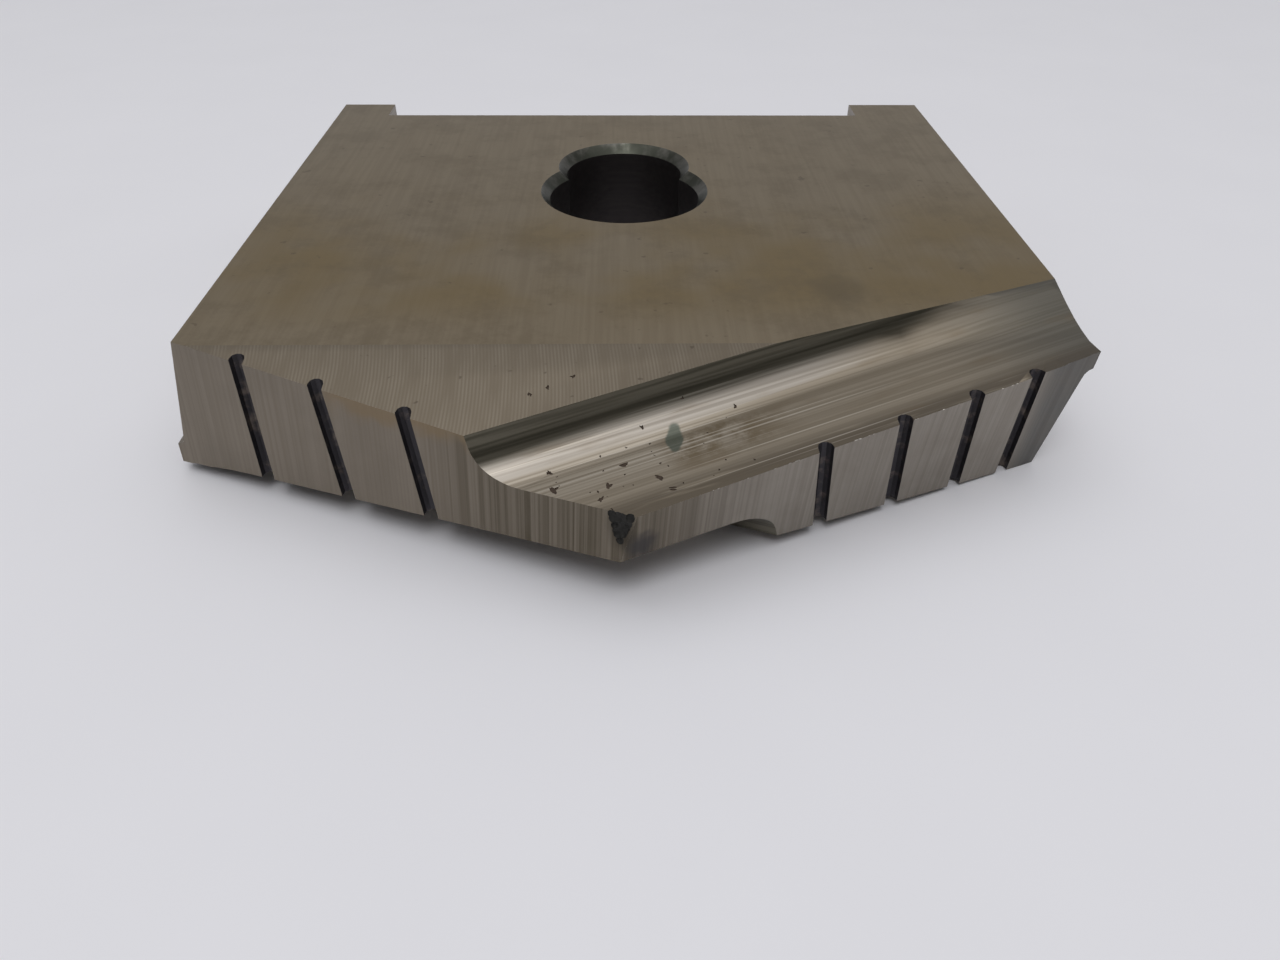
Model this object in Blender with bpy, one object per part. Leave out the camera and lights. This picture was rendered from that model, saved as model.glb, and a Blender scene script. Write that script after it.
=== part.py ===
"""Replaceable one-piece spade drill blade, lying on one face with its point towards -Y.

The blade turns about an axis parallel to Y that runs through the middle of its thickness. A half turn
about that axis lays one lip on the other, so every feature of the point is made once and then turned.
The chip splitter notches are the only difference between the two lips: four on one, three on the other.
All sizes are in metres, and the lower face rests on z = 0.
"""

import math

import bmesh
import bpy
from mathutils import Matrix, Vector

# Driving dimensions of the plate
HALF_WIDTH = 0.0384  # from the axis to the outer edge of a margin
THICKNESS = 0.01256
OVERALL_LENGTH = 0.07715
LIP_SLOPE = math.radians(23.8)  # lip against a line square to the axis: a 132.4 degree point
LIP_RELIEF = math.radians(6.9)
FACE_TAPER = math.radians(7.5)  # each face falls away ahead of the finish line
FINISH_LINE = 0.0610  # from the rear of the ears to where that taper starts

# Sides: a cylindrical margin beside each cutting corner, then a stepped and relieved flank
MARGIN_HEIGHT = 0.00272
STEP_WIDTH = 0.00079
STEP_END = 0.00349
FLANK_RELIEF = math.radians(9.8)
STEP_ARC_POINTS = 4

# Rear recess between the two ears
RECESS_WIDTH = 0.0594
RECESS_DEPTH = 0.00434

# Keyhole: the through hole of the clamp screw and a smaller one that overlaps it
HOLE_RADIUS = 0.00794
HOLE_FROM_REAR = 0.0289
RELIEF_RADIUS = 0.00641
RELIEF_FROM_REAR = 0.0220
RIM_CHAMFER = 0.00092
HOLE_POINTS = 49
RELIEF_POINTS = 41

# Chip groove: it deepens towards the point and runs out of the side near the corner
GROOVE_ANGLE = math.radians(22.7)
GROOVE_EDGE = 0.0609  # square distance from the rear centre to the groove's rear edge
GROOVE_WALL = math.radians(72.0)
GROOVE_FRONT = 0.0800
GROOVE_START = -0.0400
GROOVE_END = 0.0220
GROOVE_STATIONS = 28
FLOOR_ORIGIN = -0.0338
FLOOR_DEPTH = 0.00445
FLOOR_RISE = 0.0685
FILLET_RADIUS = 0.00346
FILLET_OPENS = 0.0330  # past this distance from the floor origin the fillet widens
FILLET_SPAN = 0.0146
FILLET_GROWTH = 1.95
FILLET_POWER = 1.4
FILLET_POINTS = 9
CORNER_LIFT = 0.165  # slope at which the rake face rises to the lip beside the outer corner
LIFT_OPENS = 0.0390
LIFT_SPAN = 0.0070
LIFT_LINE = 0.0690

# Chip splitter notches: distance from the axis and lean towards it from heel to lip
NOTCH_WIDTH = 0.00119
NOTCH_DEPTH = 0.00105
NOTCH_ARC_POINTS = 6
UPPER_LIP_NOTCHES = ((0.01488, 0.090), (0.02135, 0.079), (0.02750, 0.065), (0.03270, 0.010))
LOWER_LIP_NOTCHES = ((0.01563, 0.143), (0.02277, 0.127), (0.02996, 0.045))

OVERCUT = 0.003  # how far each cutter stands clear of the blade
SHARP_ANGLE = math.radians(25.0)  # faces that meet at less than this are shaded as one round
STEEL_COLOUR = (0.20, 0.185, 0.165, 1.0)


def clear_scene():
    for obj in list(bpy.data.objects):
        bpy.data.objects.remove(obj, do_unlink=True)


def rear_y():
    """The rear of the ears. The blade is centred on the origin."""
    return OVERALL_LENGTH / 2


def half_turn():
    """The turn about the drill axis that lays one lip on the other."""
    centre = Matrix.Translation((0.0, 0.0, THICKNESS / 2))
    return centre @ Matrix.Rotation(math.pi, 4, "Y") @ centre.inverted()


def turned(points):
    return [half_turn() @ Vector(point) for point in points]


def object_from(name, bm):
    bmesh.ops.recalc_face_normals(bm, faces=bm.faces)
    mesh = bpy.data.meshes.new(name)
    bm.to_mesh(mesh)
    bm.free()
    obj = bpy.data.objects.new(name, mesh)
    bpy.context.scene.collection.objects.link(obj)
    return obj


def loft(name, rings):
    """A closed solid through rings of equally many points, with a flat cap at each end."""
    bm = bmesh.new()
    loops = [[bm.verts.new(point) for point in ring] for ring in rings]
    count = len(rings[0])
    for first, second in zip(loops, loops[1:]):
        for i in range(count):
            j = (i + 1) % count
            bm.faces.new((first[i], first[j], second[j], second[i]))
    bm.faces.new(loops[0])
    bm.faces.new(loops[-1])
    return object_from(name, bm)


def arc(centre, radius, start, stop, count):
    """Points of an arc in a plane, ends included."""
    angles = [start + (stop - start) * i / (count - 1) for i in range(count)]
    return [(centre[0] + radius * math.cos(a), centre[1] + radius * math.sin(a)) for a in angles]


def step_arc():
    """The hollow step below a margin, from the margin's lower edge in to the flank."""
    reach = STEP_END - MARGIN_HEIGHT
    points = []
    for i in range(STEP_ARC_POINTS):
        turn = math.pi / 2 * i / (STEP_ARC_POINTS - 1)
        inward = STEP_WIDTH * math.sin(turn)
        drop = reach * (1 - math.cos(turn))
        points.append((HALF_WIDTH - inward, THICKNESS - MARGIN_HEIGHT - drop))
    return points


def heel_half_width():
    return HALF_WIDTH - STEP_WIDTH - (THICKNESS - STEP_END) * math.tan(FLANK_RELIEF)


def cross_section():
    """Outline across the blade, as x and z."""
    half = [(HALF_WIDTH, THICKNESS)] + step_arc() + [(heel_half_width(), 0.0)]
    return half + [(-x, THICKNESS - z) for x, z in half]


def cut_by_plane(bm, point, normal):
    """Removes what lies on the side that the normal points to, and closes the cut."""
    geometry = bm.verts[:] + bm.edges[:] + bm.faces[:]
    cut = bmesh.ops.bisect_plane(
        bm, geom=geometry, plane_co=point, plane_no=normal, dist=1e-7, clear_outer=True
    )
    rim = [item for item in cut["geom_cut"] if isinstance(item, bmesh.types.BMEdge)]
    bmesh.ops.edgeloop_fill(bm, edges=rim)


def flank_plane():
    """The clearance plane of the upper lip: a point on it, and its outward normal."""
    tip = Vector((0.0, rear_y() - OVERALL_LENGTH, THICKNESS / 2))
    normal = Vector((math.tan(LIP_SLOPE), -1.0, -math.tan(LIP_RELIEF)))
    return tip, normal


def taper_plane():
    """The face that slopes down to the point ahead of the finish line, on the upper side."""
    point = Vector((0.0, rear_y() - FINISH_LINE, THICKNESS))
    normal = Vector((0.0, -math.sin(FACE_TAPER), math.cos(FACE_TAPER)))
    return point, normal


def make_plate():
    """The solid blank: cross-section, pointed end and tapered faces."""
    front = rear_y() - OVERALL_LENGTH - OVERCUT
    rings = [[(x, y, z) for x, z in cross_section()] for y in (front, rear_y())]
    plate = loft("spade_drill_blade", rings)
    bm = bmesh.new()
    bm.from_mesh(plate.data)
    turn = half_turn()
    for point, normal in (flank_plane(), taper_plane()):
        cut_by_plane(bm, point, normal)
        cut_by_plane(bm, turn @ point, turn.to_3x3() @ normal)
    bmesh.ops.recalc_face_normals(bm, faces=bm.faces)
    bm.to_mesh(plate.data)
    bm.free()
    return plate


def recess_cutter():
    low = rear_y() - RECESS_DEPTH
    high = rear_y() + OVERCUT
    half = RECESS_WIDTH / 2
    corners = [(-half, low), (half, low), (half, high), (-half, high)]
    levels = (-OVERCUT, THICKNESS + OVERCUT)
    return loft("cutter_recess", [[(x, y, z) for x, y in corners] for z in levels])


def keyhole_outline(flare):
    """Outline of both lobes as x and y, each lobe larger in radius by the flare."""
    front = HOLE_RADIUS + flare
    rear = RELIEF_RADIUS + flare
    gap = HOLE_FROM_REAR - RELIEF_FROM_REAR
    crossing = (gap**2 + front**2 - rear**2) / (2 * gap)
    front_turn = math.asin(crossing / front)
    rear_turn = math.asin((crossing - gap) / rear)
    front_centre = (0.0, rear_y() - HOLE_FROM_REAR)
    rear_centre = (0.0, rear_y() - RELIEF_FROM_REAR)
    front_lobe = arc(front_centre, front, math.pi - front_turn, math.tau + front_turn, HOLE_POINTS)
    rear_lobe = arc(rear_centre, rear, rear_turn, math.pi - rear_turn, RELIEF_POINTS)
    return front_lobe[:-1] + rear_lobe[:-1]


def keyhole_cutter():
    """The two lobes as one cutter, whose ends flare out to leave a chamfer at each rim."""
    flare = RIM_CHAMFER + OVERCUT
    levels = (
        (-OVERCUT, flare),
        (RIM_CHAMFER, 0.0),
        (THICKNESS - RIM_CHAMFER, 0.0),
        (THICKNESS + OVERCUT, flare),
    )
    rings = [[(x, y, z) for x, y in keyhole_outline(extra)] for z, extra in levels]
    return loft("cutter_keyhole", rings)


def floor_depth(along):
    """Depth of the groove floor below the flat face, at a distance along the groove."""
    return FLOOR_DEPTH - FLOOR_RISE * (along - FLOOR_ORIGIN)


def fillet_radius(along):
    """The fillet at the foot of the wall. It opens out to a broad hollow at the side."""
    past = max(0.0, along - FLOOR_ORIGIN - FILLET_OPENS) / FILLET_SPAN
    return FILLET_RADIUS * math.exp(FILLET_GROWTH * past**FILLET_POWER)


def lift_slope(along):
    past = (along - FLOOR_ORIGIN - LIFT_OPENS) / LIFT_SPAN
    return CORNER_LIFT * min(max(past, 0.0), 1.0)


def groove_profile(along):
    """Section square to the groove, as distance from the rear centre and depth below the face."""
    depth = floor_depth(along)
    radius = fillet_radius(along)
    steepest = math.acos(max(-1.0, 1 - depth / radius))
    slope = min(GROOVE_WALL, steepest)
    wall_drop = depth - radius * (1 - math.cos(slope))
    foot = GROOVE_EDGE + wall_drop / math.tan(slope)
    centre = (foot + radius * math.sin(slope), depth - radius)
    over = GROOVE_EDGE - OVERCUT / math.tan(slope)
    fillet = []
    for i in range(FILLET_POINTS):
        angle = slope * (1 - i / (FILLET_POINTS - 1))
        fillet.append((centre[0] - radius * math.sin(angle), centre[1] + radius * math.cos(angle)))
    lifted = depth - lift_slope(along) * (GROOVE_FRONT - LIFT_LINE)
    ahead = [(LIFT_LINE, depth), (GROOVE_FRONT, lifted), (GROOVE_FRONT, -OVERCUT)]
    return [(over, -OVERCUT)] + fillet + ahead


def groove_point(along, across, depth):
    x = along * math.cos(GROOVE_ANGLE) + across * math.sin(GROOVE_ANGLE)
    y = along * math.sin(GROOVE_ANGLE) - across * math.cos(GROOVE_ANGLE)
    return Vector((x, rear_y() + y, THICKNESS - depth))


def groove_rings():
    rings = []
    for i in range(GROOVE_STATIONS):
        along = GROOVE_START + (GROOVE_END - GROOVE_START) * i / (GROOVE_STATIONS - 1)
        rings.append([groove_point(along, across, depth) for across, depth in groove_profile(along)])
    return rings


def notch_rings(from_axis, lean):
    """Rings of one notch of the upper lip. It follows the clearance plane and leans from heel to lip."""
    half = NOTCH_WIDTH / 2
    tip, normal = flank_plane()
    bottom = arc((0.0, NOTCH_DEPTH - half), half, 0.0, math.pi, NOTCH_ARC_POINTS)
    outline = bottom + [(-half, -OVERCUT), (half, -OVERCUT)]
    rings = []
    for z in (-OVERCUT, THICKNESS + OVERCUT):
        middle = from_axis - lean * (z - THICKNESS / 2)
        surface = tip.y + middle * normal.x + (z - tip.z) * normal.z
        rings.append([Vector((middle + x, surface + y, z)) for x, y in outline])
    return rings


def groove_cutters():
    rings = groove_rings()
    return [
        loft("cutter_groove_upper", rings),
        loft("cutter_groove_lower", [turned(ring) for ring in rings]),
    ]


def notch_cutters():
    cutters = []
    for i, (from_axis, lean) in enumerate(UPPER_LIP_NOTCHES):
        cutters.append(loft(f"cutter_notch_upper_{i + 1}", notch_rings(from_axis, lean)))
    for i, (from_axis, lean) in enumerate(LOWER_LIP_NOTCHES):
        rings = [turned(ring) for ring in notch_rings(from_axis, lean)]
        cutters.append(loft(f"cutter_notch_lower_{i + 1}", rings))
    return cutters


def subtract(body, cutter):
    modifier = body.modifiers.new(cutter.name, "BOOLEAN")
    modifier.operation = "DIFFERENCE"
    modifier.solver = "EXACT"
    modifier.object = cutter


def apply_cuts(body, cutters):
    """Makes the cut shape the body's own mesh and removes the cutters."""
    graph = bpy.context.evaluated_depsgraph_get()
    body.data = bpy.data.meshes.new_from_object(body.evaluated_get(graph))
    body.modifiers.clear()
    for cutter in cutters:
        bpy.data.objects.remove(cutter, do_unlink=True)


def shade(body):
    """Rounds are shaded smooth and the edges between faces stay sharp."""
    body.data.shade_smooth()
    body.data.set_sharp_from_angle(angle=SHARP_ANGLE)


def steel():
    """Bare high-speed steel, ground and darkened by use."""
    material = bpy.data.materials.new("high_speed_steel")
    material.use_nodes = True
    shader = material.node_tree.nodes["Principled BSDF"]
    shader.inputs["Base Color"].default_value = STEEL_COLOUR
    shader.inputs["Metallic"].default_value = 1.0
    shader.inputs["Roughness"].default_value = 0.42
    return material


def main():
    clear_scene()
    blade = make_plate()
    blade.data.materials.append(steel())
    cutters = [recess_cutter(), keyhole_cutter()] + groove_cutters() + notch_cutters()
    for cutter in cutters:
        subtract(blade, cutter)
    apply_cuts(blade, cutters)
    shade(blade)


main()
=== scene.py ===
"""Looks of a one-piece spade drill blade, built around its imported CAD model.

The CAD solid is copied into one finished piece. Its edges are broken, the burnt tip, the rust pits and the
nicks of the cutting edge are cut into it, and each ground surface gets its own node material.
Metres, +Z up. The drill's axis lies along Y and the point faces -Y.
"""

import math
import random

import bmesh
import bpy
from mathutils import Matrix, Vector
from mathutils.bvhtree import BVHTree


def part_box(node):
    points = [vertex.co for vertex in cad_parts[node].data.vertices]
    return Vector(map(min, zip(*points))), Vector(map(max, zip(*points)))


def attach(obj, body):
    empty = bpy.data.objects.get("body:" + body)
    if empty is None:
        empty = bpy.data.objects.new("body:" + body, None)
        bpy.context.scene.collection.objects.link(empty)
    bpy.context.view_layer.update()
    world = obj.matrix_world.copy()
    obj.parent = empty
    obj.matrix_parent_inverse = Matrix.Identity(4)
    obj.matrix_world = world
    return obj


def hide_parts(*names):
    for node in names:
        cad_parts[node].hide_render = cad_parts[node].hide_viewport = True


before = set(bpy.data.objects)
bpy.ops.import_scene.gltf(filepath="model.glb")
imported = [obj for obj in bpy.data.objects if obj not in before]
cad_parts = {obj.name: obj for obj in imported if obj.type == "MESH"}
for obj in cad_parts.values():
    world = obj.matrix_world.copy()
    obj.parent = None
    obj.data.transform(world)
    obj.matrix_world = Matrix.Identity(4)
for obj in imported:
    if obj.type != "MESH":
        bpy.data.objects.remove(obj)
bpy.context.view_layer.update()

# Driving dimensions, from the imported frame
NODE = "spade_drill_blade"
LOW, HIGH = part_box(NODE)
HALF_WIDTH = HIGH.x
THICKNESS = HIGH.z
REAR = HIGH.y
TIP = LOW.y

# Angles and places of the ground surfaces
LIP_SLOPE = math.radians(23.8)
LIP_RELIEF = math.radians(6.9)
FACE_TAPER = math.radians(7.5)
GROOVE_ANGLE = math.radians(22.7)
GROOVE_EDGE = 0.0609  # square distance from the rear centre to the groove's rear edge
FINISH_LINE = REAR - 0.0610
HOLE_CENTRES = (REAR - 0.0289, REAR - 0.0220)
HOLE_REACH = 0.0091
NOTCH_DEPTH = 0.00105

# Clean-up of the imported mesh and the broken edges
WELD = 0.00015
FLAT = math.radians(0.4)
SHARP = math.radians(25.0)
ROUND = math.radians(34.0)
EDGE_BREAK = 0.00009
SAME_PLANE = 0.02  # largest angle, in radians, between a face and the ground surface it belongs to

# Stage, light and camera
FLOOR_REACH = 3.0
SOFTBOX_PLACE = Vector((-0.03, -0.26, 0.50))
SOFTBOX_SIZE = 0.26
SOFTBOX_RADIANCE = 3.2
CAMERA_PLACE = Vector((-0.00039, -0.08582, 0.04992))
CAMERA_PITCH = math.radians(38.96)
CAMERA_YAW = math.radians(1.395)
CAMERA_ROLL = math.radians(0.488)
SENSOR_WIDTH = 36.0  # millimetres, as the focal length
FOCAL_LENGTH = 25.8

ALONG = Vector((math.cos(GROOVE_ANGLE), math.sin(GROOVE_ANGLE), 0.0))
ACROSS = Vector((math.sin(GROOVE_ANGLE), -math.cos(GROOVE_ANGLE), 0.0))
CLIMB = Vector((0.0, 0.0, 0.0685))  # rise of the groove's floor for each unit along it
FLANK = Vector((math.tan(LIP_SLOPE), -1.0, -math.tan(LIP_RELIEF))).normalized()
TAPER = Vector((0.0, -math.sin(FACE_TAPER), math.cos(FACE_TAPER)))


# ---------------------------------------------------------------- places on the blade


def turned(point):
    """The same place on the other lip, half a turn about the drill's axis away."""
    return Vector((-point.x, point.y, THICKNESS - point.z))


def turned_direction(direction):
    return Vector((-direction.x, direction.y, -direction.z))


def groove_place(along, across):
    """A place over the upper groove, as x and y."""
    point = Vector((0.0, REAR, 0.0)) + ALONG * along + ACROSS * across
    return point.x, point.y


def behind_flank(point):
    """How far a point lies behind the upper lip's clearance plane."""
    return -(point - Vector((0.0, TIP, THICKNESS / 2))).dot(FLANK)


def in_groove(point, normal):
    """Whether a face belongs to the upper groove."""
    reach = (point - Vector((0.0, REAR, 0.0))).dot(ACROSS)
    depth = THICKNESS - point.z
    return normal.z > 0.2 and reach > GROOVE_EDGE and depth > 0.00001 and normal.angle(TAPER) > 0.01


def in_notch(point, normal):
    """Whether a face is a wall or the bottom of a notch through the upper lip's flank."""
    inside = 0.00002 < behind_flank(point) < 1.1 * NOTCH_DEPTH
    return inside and abs(normal.z) < 0.3 and abs(point.x) < 0.97 * HALF_WIDTH


def zone_of(point, normal):
    """The name of the ground surface that a face belongs to."""
    from_hole = min(math.hypot(point.x, point.y - y) for y in HOLE_CENTRES)
    if from_hole < HOLE_REACH and abs(normal.z) < 0.99:
        return "bore" if abs(normal.z) < 0.3 else "rim"
    for side, p, n in (("upper", point, normal), ("lower", turned(point), turned_direction(normal))):
        if n.angle(FLANK) < SAME_PLANE:
            return "flank_" + side
        if in_notch(p, n):
            return "notch"
        if n.angle(TAPER) < SAME_PLANE:
            return "taper"
        if in_groove(p, n):
            return "rake_" + side
    if abs(normal.y) > 0.9:
        return "end"
    return "face" if abs(normal.z) > 0.99 else "side"


# ---------------------------------------------------------------- mesh of the finished piece


def welded_mesh():
    """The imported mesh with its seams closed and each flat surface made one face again."""
    bm = bmesh.new()
    bm.from_mesh(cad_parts[NODE].data)
    bmesh.ops.remove_doubles(bm, verts=bm.verts[:], dist=WELD)
    bmesh.ops.dissolve_limit(
        bm, angle_limit=FLAT, verts=bm.verts[:], edges=bm.edges[:], delimit={"NORMAL"}
    )
    return bm


def paint_zones(bm, names):
    for face in bm.faces:
        face.material_index = names.index(zone_of(face.calc_center_median(), face.normal))


def break_edges(bm, names):
    """A fine bevel along every edge. Outer edges are worn bright and carry a painted highlight, and those
    of the notches aren't.
    """
    dull = {names.index("notch"), names.index("bore")}
    sharp = [edge for edge in bm.edges if edge.calc_face_angle(0.0) > SHARP]
    made = bmesh.ops.bevel(
        bm, geom=sharp, offset=EDGE_BREAK, offset_type="OFFSET", segments=2, profile=0.5,
        affect="EDGES", clamp_overlap=True, material=-1, loop_slide=False,
    )
    for face in made["faces"]:
        width = 2 * face.calc_area() / face.calc_perimeter()
        if width < EDGE_BREAK and face.material_index not in dull:
            face.material_index = names.index("edge")


def object_from(name, bm):
    mesh = bpy.data.meshes.new(name)
    bm.to_mesh(mesh)
    bm.free()
    obj = bpy.data.objects.new(name, mesh)
    bpy.context.scene.collection.objects.link(obj)
    return obj


def subtract(body, cutter):
    """Cuts a mesh of many lumps out of the body and leaves their material in the hollows."""
    modifier = body.modifiers.new(cutter.name, "BOOLEAN")
    modifier.operation = "DIFFERENCE"
    modifier.solver = "EXACT"
    modifier.use_self = True
    modifier.material_mode = "TRANSFER"
    modifier.object = cutter
    graph = bpy.context.evaluated_depsgraph_get()
    body.data = bpy.data.meshes.new_from_object(body.evaluated_get(graph))
    body.modifiers.clear()
    bpy.data.objects.remove(cutter, do_unlink=True)


# ---------------------------------------------------------------- pits, nicks and the worn tip

# Larger pits in the upper groove: distance along and across it, and length
RAKE_PITS = (
    (-0.0331, 0.0642, 0.00045),
    (-0.0334, 0.0660, 0.00070),
    (-0.0278, 0.0658, 0.00060),
    (-0.0296, 0.0674, 0.00060),
    (-0.0307, 0.0686, 0.00050),
    (-0.0261, 0.0683, 0.00055),
    (-0.0258, 0.0698, 0.00060),
    (-0.0251, 0.0629, 0.00040),
    (-0.0212, 0.0619, 0.00035),
    (-0.0173, 0.0634, 0.00045),
)
# Pits of the tapered face: x, y and length
TAPER_PITS = ((-0.0060, -0.0277, 0.00055), (-0.0073, -0.0284, 0.00040), (-0.0041, -0.0264, 0.00045))
SMALL_PITS = 26
PIT_DEPTH = 0.00007
SMALL_PIT_LENGTHS = (0.00012, 0.00028)
LIP_NICKS = 30
NICK_SIZES = (0.00006, 0.00014)
CRATER_ROWS = 6
CRATER_TOP = 0.00815
CRATER_BOTTOM = 0.00610
SEED = 11


def surface_from_above(tree, x, y):
    """The place and normal of the surface seen straight down at x and y."""
    place, normal, _, _ = tree.ray_cast(Vector((x, y, 2 * THICKNESS)), Vector((0.0, 0.0, -1.0)))
    return place, normal


def add_lump(bm, place, normal, sizes, turn):
    """A flattened lump centred on a surface, with its length turned about the normal."""
    stand = normal.to_track_quat("Z", "Y").to_matrix().to_4x4()
    spin = Matrix.Rotation(turn, 4, "Z")
    scale = Matrix.Diagonal((sizes[0] / 2, sizes[1] / 2, sizes[2], 1.0))
    matrix = Matrix.Translation(place) @ stand @ spin @ scale
    bmesh.ops.create_icosphere(bm, subdivisions=2, radius=1.0, matrix=matrix)


def add_pit(bm, tree, x, y, length, rng):
    """A star of two or three crossing hollows, as rust eats them into ground steel."""
    place, normal = surface_from_above(tree, x, y)
    for _ in range(rng.choice((2, 3))):
        sizes = (length * rng.uniform(0.7, 1.1), length * rng.uniform(0.25, 0.4), PIT_DEPTH)
        shift = Vector((rng.uniform(-0.2, 0.2), rng.uniform(-0.2, 0.2), 0.0)) * length
        add_lump(bm, place + shift, normal, sizes, rng.uniform(0.0, math.pi))


def cut_pits(blade, tree, rng):
    bm = bmesh.new()
    for along, across, length in RAKE_PITS:
        x, y = groove_place(along, across)
        add_pit(bm, tree, x, y, 1.2 * length, rng)
    for x, y, length in TAPER_PITS:
        add_pit(bm, tree, x, y, length, rng)
    for _ in range(SMALL_PITS):
        # most of them lie near the tip end of the groove
        along = -0.034 + 0.016 * rng.random() ** 1.6
        x, y = groove_place(along, rng.uniform(0.0640, 0.0705))
        add_pit(bm, tree, x, y, rng.uniform(*SMALL_PIT_LENGTHS), rng)
    cutter = object_from("pits", bm)
    cutter.data.materials.append(rust())
    subtract(blade, cutter)


def lip_place(tree, x):
    """A place on the upper cutting edge, or None in a notch: where the clearance plane meets the groove."""
    height = 0.7 * THICKNESS
    for _ in range(3):
        ahead = TIP + x * math.tan(LIP_SLOPE) - (height - THICKNESS / 2) * math.tan(LIP_RELIEF)
        place, _ = surface_from_above(tree, x, ahead + 0.0002)
        if place is None:
            return None
        height = place.z
    return Vector((x, ahead, height))


def cut_nicks(blade, tree, rng):
    """Small chips out of the cutting edge."""
    bm = bmesh.new()
    for _ in range(LIP_NICKS):
        place = lip_place(tree, rng.uniform(0.0006, 0.95 * HALF_WIDTH))
        size = rng.uniform(*NICK_SIZES)
        if place is not None:
            add_lump(bm, place, FLANK, (2.2 * size, size, size / 2), rng.uniform(-0.3, 0.3))
    cutter = object_from("nicks", bm)
    cutter.data.materials.append(bpy.data.materials["edge"])
    subtract(blade, cutter)


def cut_tip_crater(blade, tree, rng):
    """The burnt hollow beside the chisel edge: wide under the lip and narrow below."""
    bm = bmesh.new()
    normal = turned_direction(FLANK)
    for row in range(CRATER_ROWS):
        share = row / (CRATER_ROWS - 1)
        height = CRATER_TOP + (CRATER_BOTTOM - CRATER_TOP) * share
        half = 0.00080 - 0.00058 * share
        middle = -0.00050 - 0.00010 * share
        for step in (-1.0, -0.4, 0.2, 0.9):
            x = middle + step * (half - 0.00015)
            start = Vector((x, 2 * TIP, height + rng.uniform(-0.00015, 0.00015)))
            place, _, _, _ = tree.ray_cast(start, Vector((0.0, 1.0, 0.0)))
            width = rng.uniform(0.00070, 0.00100) * (1.0 - 0.4 * share)
            sizes = (width, width * rng.uniform(0.6, 1.0), rng.uniform(0.00012, 0.00030))
            add_lump(bm, place, normal, sizes, rng.uniform(0.0, math.pi))
    cutter = object_from("tip_crater", bm)
    cutter.data.materials.append(burnt())
    subtract(blade, cutter)


# ---------------------------------------------------------------- node materials


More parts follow.
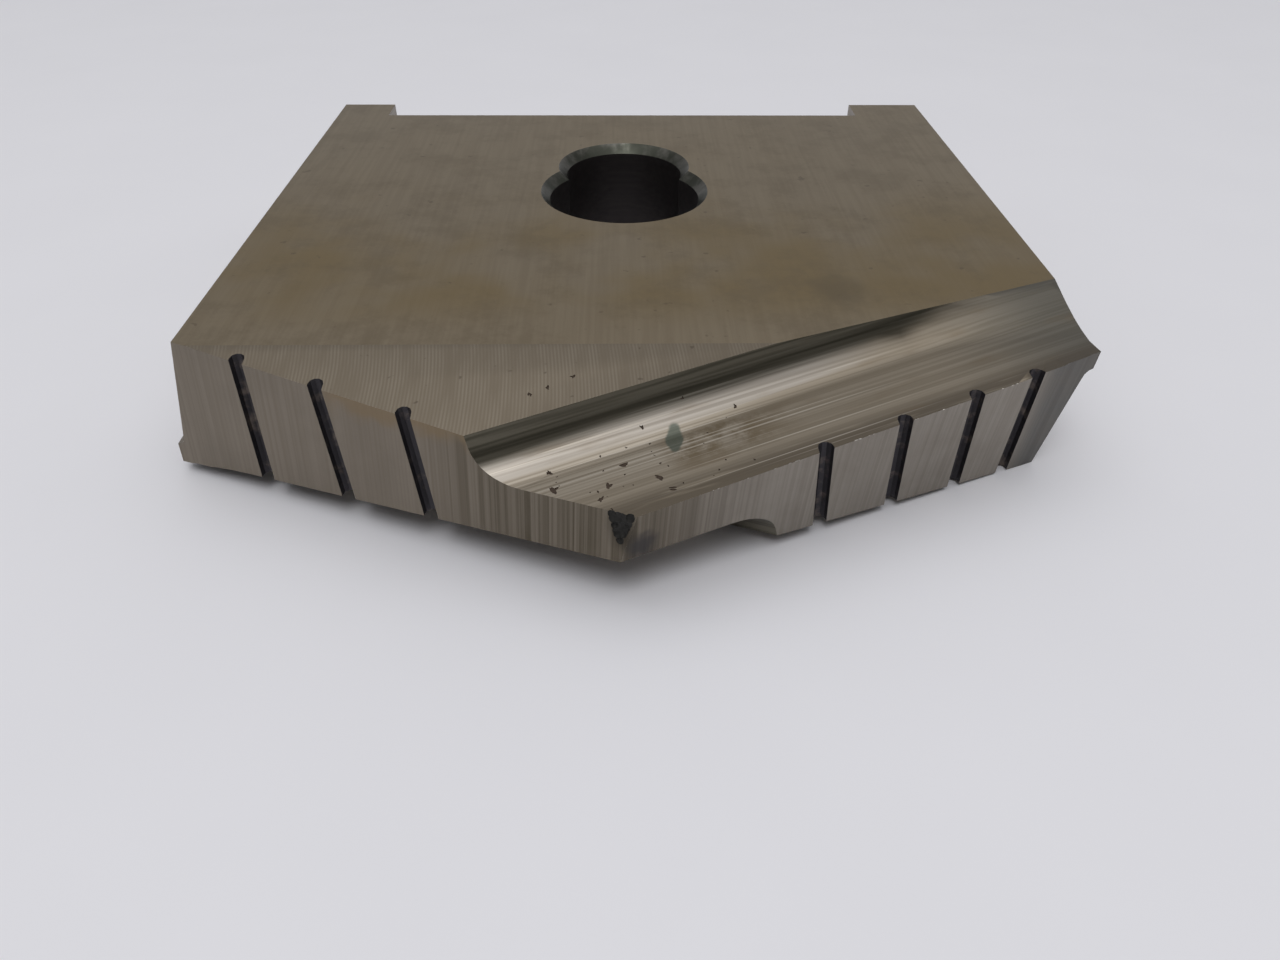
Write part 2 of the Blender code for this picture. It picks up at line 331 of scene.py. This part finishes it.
class Finish:
    """The node graph of one surface finish. Its methods return sockets, and lengths are in metres."""

    def __init__(self, name, metallic=1.0):
        self.material = bpy.data.materials.new(name)
        self.material.use_nodes = True
        self.tree = self.material.node_tree
        self.shader = self.tree.nodes["Principled BSDF"]
        self.shader.inputs["Metallic"].default_value = metallic
        self.place = self.add("ShaderNodeTexCoord").outputs["Object"]
        self.normal = self.add("ShaderNodeNewGeometry").outputs["Normal"]

    def add(self, kind, **settings):
        node = self.tree.nodes.new(kind)
        for name, value in settings.items():
            setattr(node, name, value)
        return node

    def feed(self, socket, value):
        if isinstance(value, bpy.types.NodeSocket):
            self.tree.links.new(value, socket)
        else:
            socket.default_value = value

    def math(self, operation, *values):
        node = self.add("ShaderNodeMath", operation=operation)
        for socket, value in zip(node.inputs, values):
            self.feed(socket, value)
        return node.outputs[0]

    def vector(self, operation, *values):
        node = self.add("ShaderNodeVectorMath", operation=operation)
        for socket, value in zip(node.inputs, values):
            self.feed(socket, value)
        return node.outputs["Value"] if operation in ("DOT_PRODUCT", "LENGTH") else node.outputs[0]

    def noise(self, size, detail=3.0, roughness=0.5, place=None):
        node = self.add("ShaderNodeTexNoise")
        self.feed(node.inputs["Vector"], place or self.place)
        node.inputs["Scale"].default_value = 1 / size
        node.inputs["Detail"].default_value = detail
        node.inputs["Roughness"].default_value = roughness
        return node.outputs[0]

    def lines(self, direction, width, length, detail=2.0):
        """Noise drawn out along a direction, as a grinding wheel leaves it."""
        along = self.vector("DOT_PRODUCT", self.place, direction)
        spread = self.add("ShaderNodeCombineXYZ")
        for socket, part in zip(spread.inputs, direction):
            self.feed(socket, self.math("MULTIPLY", along, part * (width / length - 1)))
        return self.noise(width, detail, place=self.vector("ADD", self.place, spread.outputs[0]))

    def distance(self, centre):
        return self.vector("LENGTH", self.vector("SUBTRACT", self.place, centre))

    def ramp(self, value, low, high):
        """0 below low and 1 above high, or the other way round if high is the smaller."""
        node = self.add("ShaderNodeMapRange", interpolation_type="SMOOTHSTEP")
        self.feed(node.inputs["Value"], value)
        node.inputs["From Min"].default_value = min(low, high)
        node.inputs["From Max"].default_value = max(low, high)
        node.inputs["To Min"].default_value = 0.0 if low < high else 1.0
        node.inputs["To Max"].default_value = 1.0 if low < high else 0.0
        return node.outputs[0]

    def ridges(self, value, pitch, wander):
        """Even lines a pitch apart, 0 to 1, that waver with a noise."""
        phase = self.math("MULTIPLY_ADD", self.noise(0.006, 1.0), wander, self.math("DIVIDE", value, pitch))
        wave = self.math("SINE", self.math("MULTIPLY", phase, math.tau))
        return self.math("MULTIPLY_ADD", wave, 0.5, 0.5)

    def spot(self, centre, sizes, soft=0.15, ragged=0.5):
        """1 inside an oval of these half-sizes round a place, with a ragged outline."""
        arm = self.vector("DIVIDE", self.vector("SUBTRACT", self.place, centre), Vector(sizes))
        wander = self.math("MULTIPLY_ADD", self.noise(max(sizes)), 2 * ragged, -ragged)
        return self.ramp(self.math("ADD", self.vector("LENGTH", arm), wander), 1 + soft, 1 - soft)

    def scaled(self, value, share):
        return self.math("MULTIPLY", value, share)

    def mix(self, factor, first, second):
        node = self.add("ShaderNodeMix", data_type="RGBA")
        self.feed(node.inputs[0], factor)
        self.feed(node.inputs[6], first)
        self.feed(node.inputs[7], second)
        return node.outputs[2]

    def finish(self, colour, roughness, height=None, depth=0.00001):
        self.feed(self.shader.inputs["Base Color"], colour)
        self.feed(self.shader.inputs["Roughness"], roughness)
        if height is not None:
            bump = self.add("ShaderNodeBump")
            bump.inputs["Distance"].default_value = depth
            self.feed(bump.inputs["Height"], height)
            self.feed(self.shader.inputs["Normal"], bump.outputs[0])
        return self.material


def colour(red, green, blue):
    """A solid colour, in linear light."""
    return (red, green, blue, 1.0)


def face():
    """The flat faces: brown-grey, finely ground and stained amber in the middle."""
    f = Finish("face")
    grain = f.ramp(f.lines(Vector((0, 1, 0)), 0.0004, 0.012), 0.25, 0.75)
    steel = f.mix(grain, colour(0.236, 0.190, 0.130), colour(0.264, 0.216, 0.150))
    cloud = f.noise(0.018, 3.0, 0.55)
    parts = f.add("ShaderNodeSeparateXYZ")
    f.feed(parts.inputs[0], f.place)
    ahead = f.ramp(parts.outputs[1], FINISH_LINE + 0.001, -0.013)
    behind = f.ramp(parts.outputs[1], 0.012, -0.004)
    amber = f.math("MULTIPLY", f.math("MULTIPLY", ahead, behind), f.ramp(cloud, 0.36, 0.60))
    stained = f.mix(f.scaled(amber, 0.85), steel, colour(0.222, 0.164, 0.082))
    mottle = f.ramp(f.noise(0.0050, 5.0, 0.70), 0.44, 0.66)
    mottled = f.mix(f.scaled(mottle, 0.38), stained, colour(0.160, 0.124, 0.078))
    smudge = f.spot(Vector((0.0187, -0.0134, THICKNESS)), (0.0022, 0.0028, 0.002), 0.5, 0.7)
    marked = f.mix(f.scaled(smudge, 0.35), mottled, colour(0.130, 0.104, 0.066))
    specks = f.ramp(f.noise(0.0011, 2.0, 0.4), 0.72, 0.78)
    speckled = f.mix(f.scaled(specks, 0.5), marked, colour(0.12, 0.09, 0.06))
    return f.finish(speckled, f.math("MULTIPLY_ADD", cloud, 0.12, 0.36), grain, 0.000003)


def taper():
    """The faces that fall away to the point: greyer, with open curved grinding lines."""
    f = Finish("taper")
    ridges = f.ridges(f.distance(Vector((-0.070, -0.031, THICKNESS))), 0.00027, 0.5)
    uneven = f.lines(Vector((0, 1, 0)), 0.0009, 0.010)
    grain = f.math("MULTIPLY", ridges, f.ramp(uneven, 0.2, 0.7))
    steel = f.mix(grain, colour(0.200, 0.166, 0.124), colour(0.252, 0.216, 0.168))
    specks = f.ramp(f.noise(0.0009, 2.0, 0.4), 0.70, 0.76)
    speckled = f.mix(f.scaled(specks, 0.6), steel, colour(0.10, 0.08, 0.06))
    return f.finish(speckled, 0.44, grain, 0.000003)


def groove_steel(f, grain, travel, reach, slope):
    """Bare steel of the groove, with painted light: a painted highlight near the tip, painted shade at the
    outer corner, and a painted highlight strip along its foot.
    """
    plain = f.mix(grain, colour(0.226, 0.190, 0.142), colour(0.306, 0.264, 0.208))
    # Painted highlight: the steel near the tip is painted lighter, standing in for the reflection of a
    # bright sky.
    tip_highlight_steel = f.mix(grain, colour(0.235, 0.200, 0.156), colour(0.445, 0.396, 0.330))
    tip_highlight_mask = f.math("MULTIPLY", f.ramp(travel, -0.012, -0.026), f.ramp(reach, 0.0700, 0.0645))
    steel = f.mix(tip_highlight_mask, plain, tip_highlight_steel)
    # Painted shade: the groove's steel is painted darker towards its outer corner.
    corner_shade_steel = f.mix(grain, colour(0.122, 0.112, 0.092), colour(0.154, 0.142, 0.120))
    steel = f.mix(f.ramp(travel, -0.002, 0.014), steel, corner_shade_steel)
    # Painted highlight: a light strip on the sloping fillet over the tip half of the groove, standing in
    # for the reflection of the overhead light.
    strip_highlight_steel = f.mix(grain, colour(0.240, 0.215, 0.185), colour(0.420, 0.385, 0.345))
    strip_highlight_mask = f.math("MULTIPLY", f.ramp(slope, 0.26, 0.42), f.ramp(travel, 0.000, -0.012))
    return f.mix(f.scaled(strip_highlight_mask, 0.8), steel, strip_highlight_steel)


def groove_stains(f, steel, along, travel, reach):
    """Stains over the groove's steel: dark beside the lip, rust in streaks and a ragged brown patch."""
    streaks = f.ramp(f.lines(along, 0.0006, 0.010), 0.22, 0.46)
    near_lip = f.math("MULTIPLY", f.ramp(reach, 0.0686, 0.0704), streaks)
    stained = f.mix(f.scaled(near_lip, 0.80), steel, colour(0.110, 0.090, 0.068))
    rusty = f.ramp(f.lines(along, 0.0016, 0.008, 4.0), 0.54, 0.76)
    browned = f.mix(f.scaled(rusty, 0.4), stained, colour(0.170, 0.124, 0.074))
    length = f.math("MULTIPLY", f.ramp(travel, -0.0255, -0.0232), f.ramp(travel, -0.0120, -0.0190))
    width = f.math("MULTIPLY", f.ramp(reach, 0.0636, 0.0652), f.ramp(reach, 0.0692, 0.0668))
    ragged = f.ramp(f.noise(0.0026, 5.0, 0.65), 0.36, 0.58)
    patch = f.math("MULTIPLY", f.math("MULTIPLY", length, width), ragged)
    return f.mix(f.scaled(patch, 0.80), browned, colour(0.150, 0.112, 0.066))


def rake(name, along, across, climb, details):
    """A chip groove, with lines along its floor, scratches near the tip, a dark wall and its own marks."""
    f = Finish(name)
    arm = f.vector("SUBTRACT", f.place, Vector((0.0, REAR, 0.0)))
    reach = f.vector("DOT_PRODUCT", arm, across)
    travel = f.vector("DOT_PRODUCT", arm, along)
    slope = f.vector("DOT_PRODUCT", f.normal, across)
    floor_line = (along + climb).normalized()
    coarse = f.ramp(f.lines(floor_line, 0.00055, 0.060, 2.0), 0.30, 0.70)
    fine = f.ramp(f.lines(floor_line, 0.00022, 0.080, 0.0), 0.30, 0.70)
    grain = f.math("MULTIPLY_ADD", fine, 0.6, f.scaled(coarse, 0.4))
    steel = groove_steel(f, grain, travel, reach, slope)
    stained = groove_stains(f, steel, along, travel, reach)
    scratches = f.ramp(f.lines(floor_line, 0.00030, 0.045, 0.0), 0.66, 0.74)
    scratches = f.math("MULTIPLY", scratches, f.ramp(travel, 0.000, -0.014))
    scratched = f.mix(f.scaled(scratches, 0.55), stained, colour(0.560, 0.510, 0.440))
    wall = f.mix(grain, colour(0.080, 0.073, 0.054), colour(0.170, 0.155, 0.120))
    marked = f.mix(f.ramp(slope, 0.62, 0.84), scratched, wall)
    for centre, sizes, tint, share in details:
        marked = f.mix(f.scaled(f.spot(centre, sizes, ragged=0.4), share), marked, tint)
    return f.finish(marked, 0.40, grain, 0.000004)


def flank_steel(f, grain, across):
    """Bare steel of the flanks from left to right: grey, brown at the tip, grey, and dark at the corner."""
    left = f.mix(grain, colour(0.208, 0.178, 0.140), colour(0.242, 0.210, 0.170))
    tip = f.mix(grain, colour(0.098, 0.082, 0.058), colour(0.208, 0.180, 0.142))
    right = f.mix(grain, colour(0.250, 0.224, 0.190), colour(0.310, 0.282, 0.244))
    corner = f.mix(grain, colour(0.108, 0.104, 0.096), colour(0.136, 0.132, 0.122))
    steel = f.mix(f.ramp(across, -0.0170, -0.0080), left, tip)
    steel = f.mix(f.ramp(across, 0.0010, 0.0100), steel, right)
    return f.mix(f.ramp(across, 0.0325, 0.0350), steel, corner)


def flank_marks(f, steel, across, height):
    """Marks of the flanks: clouds, an amber band under the top edge, and burns at the tip."""
    cloud = f.ramp(f.noise(0.004, 4.0, 0.6), 0.35, 0.75)
    clouded = f.mix(f.scaled(cloud, 0.30), steel, colour(0.172, 0.148, 0.118))
    upper = f.math("ADD", height, f.scaled(f.noise(0.002), 0.003))
    amber = f.math("MULTIPLY", f.ramp(upper, 0.0112, 0.0128), f.ramp(across, -0.0240, -0.0215))
    amber = f.math("MULTIPLY", amber, f.ramp(across, -0.0080, -0.0110))
    stained = f.mix(f.scaled(amber, 0.75), clouded, colour(0.235, 0.176, 0.108))
    soot = f.spot(Vector((-0.0005, TIP, 0.0072)), (0.0009, 0.0020, 0.0016), 0.6, 0.4)
    sooty = f.mix(f.scaled(soot, 0.75), stained, colour(0.035, 0.030, 0.024))
    patch = f.spot(Vector((0.0009, -0.0381, 0.0052)), (0.0010, 0.0012, 0.0014), 0.55, 0.6)
    return f.mix(f.scaled(patch, 0.85), sooty, colour(0.052, 0.049, 0.051))


def flank(name, normal):
    """A clearance face, ground square to its cutting edge."""
    f = Finish(name)
    upright = Vector((0, 0, 1))
    down = (upright - normal * upright.dot(normal)).normalized()
    parts = f.add("ShaderNodeSeparateXYZ")
    f.feed(parts.inputs[0], f.place)
    across = parts.outputs[0]
    grain = f.ramp(f.lines(down, 0.00024, 0.060, 1.0), 0.25, 0.75)
    steel = flank_steel(f, grain, across)
    return f.finish(flank_marks(f, steel, across, parts.outputs[2]), 0.40, grain, 0.000004)


def side(name, direction):
    """The sides of the body, the ears and the recess: plain ground steel."""
    f = Finish(name)
    grain = f.ramp(f.lines(direction, 0.0003, 0.040, 2.0), 0.25, 0.75)
    steel = f.mix(grain, colour(0.210, 0.182, 0.150), colour(0.275, 0.242, 0.205))
    cloud = f.ramp(f.noise(0.006, 4.0, 0.6), 0.40, 0.75)
    clouded = f.mix(f.scaled(cloud, 0.4), steel, colour(0.150, 0.122, 0.090))
    return f.finish(clouded, 0.42, grain, 0.000004)


def notch():
    """The chip splitters: black from grinding heat, with a little brown."""
    f = Finish("notch", metallic=0.8)
    patches = f.ramp(f.noise(0.0014, 4.0, 0.6), 0.50, 0.75)
    black = f.mix(patches, colour(0.064, 0.060, 0.066), colour(0.200, 0.165, 0.142))
    return f.finish(black, 0.55, f.noise(0.0003), 0.00001)


def bore():
    f = Finish("bore", metallic=0.8)
    turned_lines = f.lines(Vector((1, 0, 0)), 0.0004, 0.010)
    # Painted shade: the bore's wall is painted near black, as the inside of the deep hole lies in shade.
    black = f.mix(turned_lines, colour(0.030, 0.026, 0.027), colour(0.060, 0.052, 0.050))
    return f.finish(black, 0.50, turned_lines, 0.00001)


def rim():
    """The chamfer round the keyhole: dark green scale, lighter in places."""
    f = Finish("rim")
    cloud = f.ramp(f.noise(0.0030, 4.0, 0.6), 0.40, 0.70)
    scale = f.mix(cloud, colour(0.050, 0.052, 0.042), colour(0.135, 0.129, 0.116))
    return f.finish(scale, 0.30, cloud, 0.00001)


def edge():
    """The broken edges: worn bright by handling and use, and painted brighter still as a painted highlight
    along them, dull between.
    """
    f = Finish("edge")
    wear_and_glint_mask = f.ramp(f.noise(0.0016, 4.0, 0.7), 0.38, 0.62)
    # Wear and painted highlight: the lightest patches stand in for glints along the edges.
    bright = f.mix(wear_and_glint_mask, colour(0.260, 0.230, 0.195), colour(0.760, 0.720, 0.660))
    return f.finish(bright, 0.40)


def rust():
    f = Finish("rust", metallic=0.2)
    crust = f.noise(0.00015, 3.0, 0.6)
    brown = f.mix(crust, colour(0.030, 0.022, 0.016), colour(0.085, 0.055, 0.035))
    return f.finish(brown, 0.85, crust, 0.00002)


def burnt():
    f = Finish("burnt", metallic=0.2)
    crust = f.noise(0.00025, 4.0, 0.6)
    black = f.mix(crust, colour(0.008, 0.008, 0.007), colour(0.024, 0.022, 0.019))
    return f.finish(black, 0.70, crust, 0.00003)


def groove_details():
    """Marks in the upper groove: centre, half-sizes, tint and strength."""
    deposit = Vector((*groove_place(-0.0232, 0.0647), 0.0088))
    return ((deposit, (0.00065, 0.00150, 0.00100), colour(0.095, 0.112, 0.092), 0.85),)


def finishes():
    """Every ground surface's material by its zone's name."""
    return {
        "face": face(),
        "taper": taper(),
        "rake_upper": rake("rake_upper", ALONG, ACROSS, CLIMB, groove_details()),
        "rake_lower": rake("rake_lower", turned_direction(ALONG), turned_direction(ACROSS), -CLIMB, ()),
        "flank_upper": flank("flank_upper", FLANK),
        "flank_lower": flank("flank_lower", turned_direction(FLANK)),
        "side": side("side", Vector((0, 1, 0))),
        "end": side("end", Vector((1, 0, 0))),
        "notch": notch(),
        "bore": bore(),
        "rim": rim(),
        "edge": edge(),
    }


# ---------------------------------------------------------------- the piece and its surroundings


def make_blade():
    """The finished blade, which stands for the CAD solid."""
    materials = finishes()
    names = list(materials)
    bm = welded_mesh()
    tree = BVHTree.FromBMesh(bm)
    paint_zones(bm, names)
    break_edges(bm, names)
    blade = object_from("finished_blade", bm)
    for material in materials.values():
        blade.data.materials.append(material)
    rng = random.Random(SEED)
    cut_pits(blade, tree, rng)
    cut_nicks(blade, tree, rng)
    cut_tip_crater(blade, tree, rng)
    blade.data.shade_smooth()
    blade.data.set_sharp_from_angle(angle=ROUND)
    weighted = blade.modifiers.new("weighted_normals", "WEIGHTED_NORMAL")
    weighted.keep_sharp = True
    weighted.weight = 100
    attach(blade, "root")
    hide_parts(NODE)


def make_floor():
    bm = bmesh.new()
    bmesh.ops.create_grid(bm, x_segments=1, y_segments=1, size=FLOOR_REACH)
    floor = object_from("floor", bm)
    f = Finish("paper", metallic=0.0)
    white = f.mix(f.noise(0.02, 3.0), colour(0.81, 0.805, 0.84), colour(0.84, 0.835, 0.87))
    floor.data.materials.append(f.finish(white, 0.9))


def add_softbox(name, place, size, radiance):
    """A square area light that faces the blade."""
    light = bpy.data.lights.new(name, "AREA")
    light.shape = "SQUARE"
    light.size = size
    light.energy = radiance * math.pi * size**2
    obj = bpy.data.objects.new(name, light)
    obj.location = place
    obj.rotation_euler = (-place).to_track_quat("-Z", "Y").to_euler()
    bpy.context.scene.collection.objects.link(obj)


def add_glow(nodes, links, direction, axis, low, high, before, after):
    """A glow that changes from one strength to another as the cosine to an axis goes from low to high."""
    aim = nodes.new("ShaderNodeVectorMath")
    aim.operation = "DOT_PRODUCT"
    aim.inputs[1].default_value = axis
    links.new(direction, aim.inputs[0])
    glow = nodes.new("ShaderNodeMapRange")
    glow.interpolation_type = "SMOOTHSTEP"
    for name, value in zip(("From Min", "From Max", "To Min", "To Max"), (low, high, before, after)):
        glow.inputs[name].default_value = value
    links.new(aim.outputs["Value"], glow.inputs["Value"])
    return glow.outputs[0]


def join(nodes, links, operation, first, second):
    node = nodes.new("ShaderNodeMath")
    node.operation = operation
    links.new(first, node.inputs[0])
    links.new(second, node.inputs[1])
    return node.outputs[0]


def make_world():
    """A pale horizon, a bright ceiling, and walls that are darkest on the side of the point."""
    world = bpy.data.worlds.new("studio")
    world.use_nodes = True
    nodes = world.node_tree.nodes
    links = world.node_tree.links
    direction = nodes.new("ShaderNodeTexCoord").outputs["Generated"]
    walls = add_glow(nodes, links, direction, Vector((0, 1, 0)), -0.4, 0.5, 0.09, 0.44)
    horizon = add_glow(nodes, links, direction, Vector((0, 0, 1)), 0.00, 0.32, 0.60, 0.05)
    ceiling = add_glow(nodes, links, direction, Vector((0, 0, 1)), 0.60, 0.97, 0.00, 1.02)
    total = join(nodes, links, "ADD", join(nodes, links, "MAXIMUM", walls, horizon), ceiling)
    background = nodes["Background"]
    background.inputs["Color"].default_value = colour(0.98, 0.985, 1.0)
    links.new(total, background.inputs["Strength"])
    bpy.context.scene.world = world


def light_scene():
    make_world()
    add_softbox("overhead", SOFTBOX_PLACE, SOFTBOX_SIZE, SOFTBOX_RADIANCE)


def place_camera():
    """Low in front of the point, looking down on the blade."""
    ahead = Vector((math.sin(CAMERA_YAW), math.cos(CAMERA_YAW), 0.0))
    forward = ahead * math.cos(CAMERA_PITCH) - Vector((0.0, 0.0, math.sin(CAMERA_PITCH)))
    level = Vector((math.cos(CAMERA_YAW), -math.sin(CAMERA_YAW), 0.0))
    upright = level.cross(forward)
    right = level * math.cos(CAMERA_ROLL) + upright * math.sin(CAMERA_ROLL)
    up = upright * math.cos(CAMERA_ROLL) - level * math.sin(CAMERA_ROLL)
    data = bpy.data.cameras.new("camera")
    data.sensor_fit = "HORIZONTAL"
    data.sensor_width = SENSOR_WIDTH
    data.lens = FOCAL_LENGTH
    data.clip_start = 0.002
    camera = bpy.data.objects.new("camera", data)
    camera.matrix_world = Matrix((right, up, -forward)).transposed().to_4x4()
    camera.location = CAMERA_PLACE
    bpy.context.scene.collection.objects.link(camera)
    bpy.context.scene.camera = camera


def main():
    bpy.context.scene.view_settings.view_transform = "Standard"
    make_blade()
    make_floor()
    light_scene()
    place_camera()


main()
